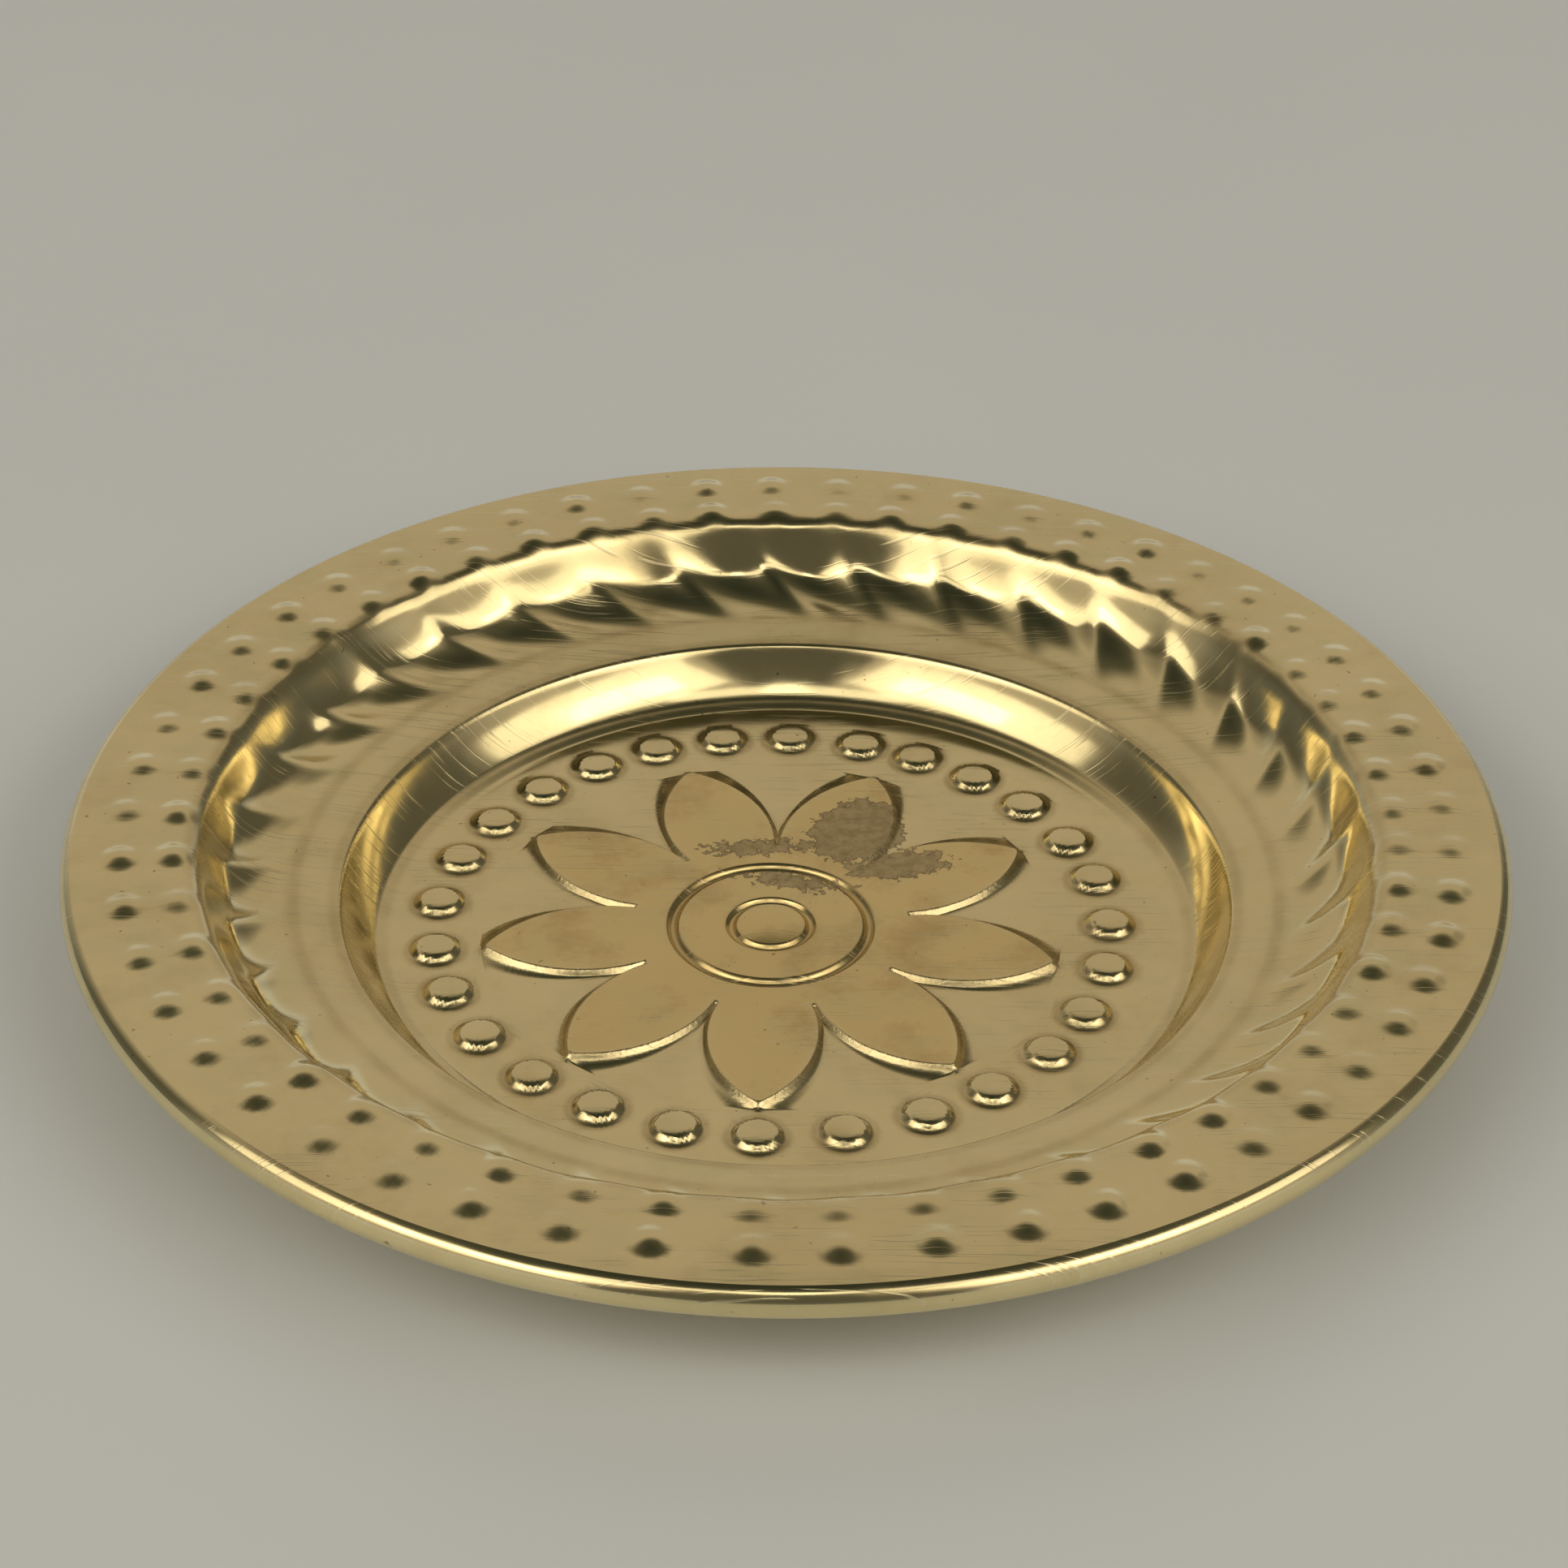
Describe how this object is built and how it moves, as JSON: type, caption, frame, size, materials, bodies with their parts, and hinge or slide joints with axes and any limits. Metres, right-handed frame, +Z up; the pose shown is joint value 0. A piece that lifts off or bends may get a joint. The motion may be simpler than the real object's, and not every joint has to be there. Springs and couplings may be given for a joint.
{
  "type": "puja plate",
  "caption": "Shallow round brass prayer plate with an embossed flower, studded ring, fluted wall and a broad rim rolled over a wire.",
  "frame": {"origin": "middle of the plate on the surface it rests on", "axes": "+Z up out of the dish, +X and +Y in the plane of the table, -Y towards the side that faces the viewer"},
  "size_m": [0.13, 0.13, 0.0127],
  "materials": {
    "brass_sheet": "polished, with fine wipe marks and a dried stain",
    "wire_steel": "drawn, dull"
  },
  "bodies": {
    "root": {"pressed_dish": "brass_sheet", "rim_wire": "wire_steel"}
  },
  "joints": []
}
